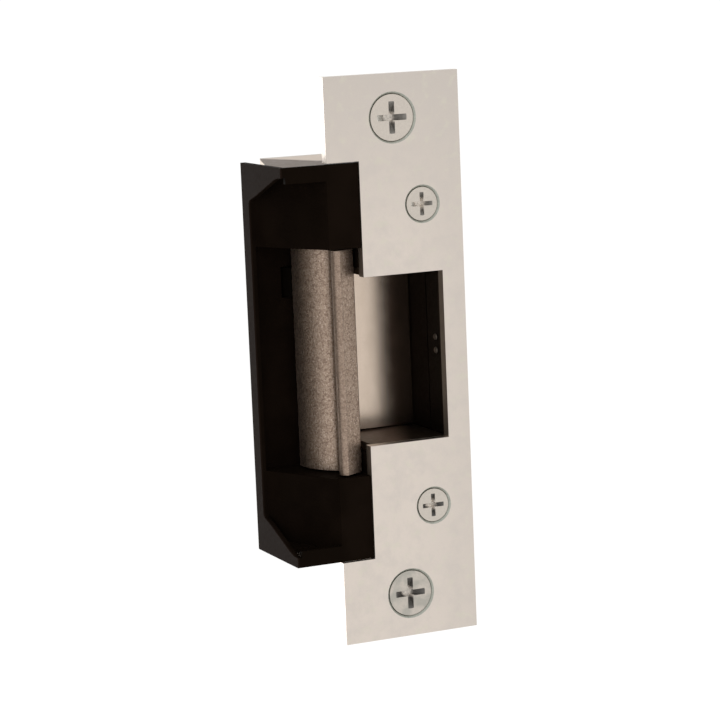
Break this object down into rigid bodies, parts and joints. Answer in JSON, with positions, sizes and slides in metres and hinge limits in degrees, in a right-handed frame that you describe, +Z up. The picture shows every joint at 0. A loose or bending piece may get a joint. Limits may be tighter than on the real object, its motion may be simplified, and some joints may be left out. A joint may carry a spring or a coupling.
{
  "type": "electric door strike",
  "caption": "Fail-safe electric door strike: satin faceplate, swinging keeper on a vertical pin, black lip frame, and a solenoid that drives a lock lever.",
  "frame": {"origin": "centre of the faceplate's rear face, which seats on the door frame, midway between the two frame screws", "axes": "+Z up along the faceplate, -Y out of the door frame towards the viewer, +Y into the frame, +X right, away from the keeper"},
  "size_m": [0.0424, 0.0322, 0.1238],
  "materials": {
    "faceplate": "satin",
    "frame_screws": "satin",
    "faceplate_screws": "satin",
    "body_frame": "satin",
    "rear_cover": "satin",
    "cover_screws": "zinc plated",
    "lip_frame": "black satin",
    "lip_screws": "zinc plated",
    "keeper": "bead blasted",
    "keeper_tail": "black oxide",
    "keeper_pin": "ground",
    "keeper_washers": "satin",
    "keeper_spring_upper": "drawn wire",
    "keeper_spring_lower": "drawn wire",
    "keeper_bumper": "matte",
    "cavity_back": "satin",
    "cavity_liner": "black",
    "liner_rivets": "plain",
    "solenoid_frame": "zinc plated",
    "solenoid_pole": "turned",
    "solenoid_screws": "zinc plated",
    "coil_bobbin": "moulded",
    "coil_winding": "enamelled wire",
    "plunger": "turned",
    "plunger_spring": "drawn wire",
    "plunger_pin": "turned",
    "lock_lever": "stamped",
    "lever_pin": "turned",
    "cable_grommet": "matte",
    "terminal_block": "moulded",
    "terminal_contacts": "tinned",
    "terminal_screws": "nickel plated",
    "varistor": "dipped",
    "lead_red": "insulated",
    "lead_black": "insulated"
  },
  "bodies": {
    "case": {"faceplate": "faceplate", "frame_screws": "frame_screws", "faceplate_screws": "faceplate_screws", "body_frame": "body_frame", "rear_cover": "rear_cover", "cover_screws": "cover_screws", "lip_frame": "lip_frame", "lip_screws": "lip_screws", "keeper_pin": "keeper_pin", "keeper_washers": "keeper_washers", "keeper_spring_upper": "keeper_spring_upper", "keeper_spring_lower": "keeper_spring_lower", "keeper_bumper": "keeper_bumper", "cavity_back": "cavity_back", "cavity_liner": "cavity_liner", "liner_rivets": "liner_rivets", "solenoid_frame": "solenoid_frame", "solenoid_pole": "solenoid_pole", "solenoid_screws": "solenoid_screws", "coil_bobbin": "coil_bobbin", "coil_winding": "coil_winding", "plunger_spring": "plunger_spring", "lever_pin": "lever_pin", "cable_grommet": "cable_grommet", "terminal_block": "terminal_block", "terminal_contacts": "terminal_contacts", "terminal_screws": "terminal_screws", "varistor": "varistor", "lead_red": "lead_red", "lead_black": "lead_black"},
    "keeper": {"keeper": "keeper", "keeper_tail": "keeper_tail"},
    "plunger": {"plunger": "plunger", "plunger_pin": "plunger_pin"},
    "lock_lever": {"lock_lever": "lock_lever"}
  },
  "joints": [
    {"name": "keeper_swing", "type": "hinge", "parent": "case", "child": "keeper", "pos_m": [-0.0135, 0.015, 0], "axis": [0, 0, -1], "range_deg": [0, 75], "stiffness_Nm_per_rad": 0.02, "springref_deg": -20.05, "deforming": ["keeper_spring_upper", "keeper_spring_lower"]},
    {"name": "plunger_slide", "type": "slide", "parent": "case", "child": "plunger", "axis": [0, 0, 1], "range_m": [0, 0.00264], "stiffness_N_per_m": 120, "springref_m": -0.003, "deforming": ["plunger_spring"]},
    {"name": "lever_rock", "type": "hinge", "parent": "case", "child": "lock_lever", "pos_m": [-0.0045, 0.02275, 0.024], "axis": [0, -1, 0], "range_deg": [0, 20]}
  ],
  "couplings": [
    {"joint": "lever_rock", "follows": "plunger_slide", "rad_per_m": 131.98}
  ]
}
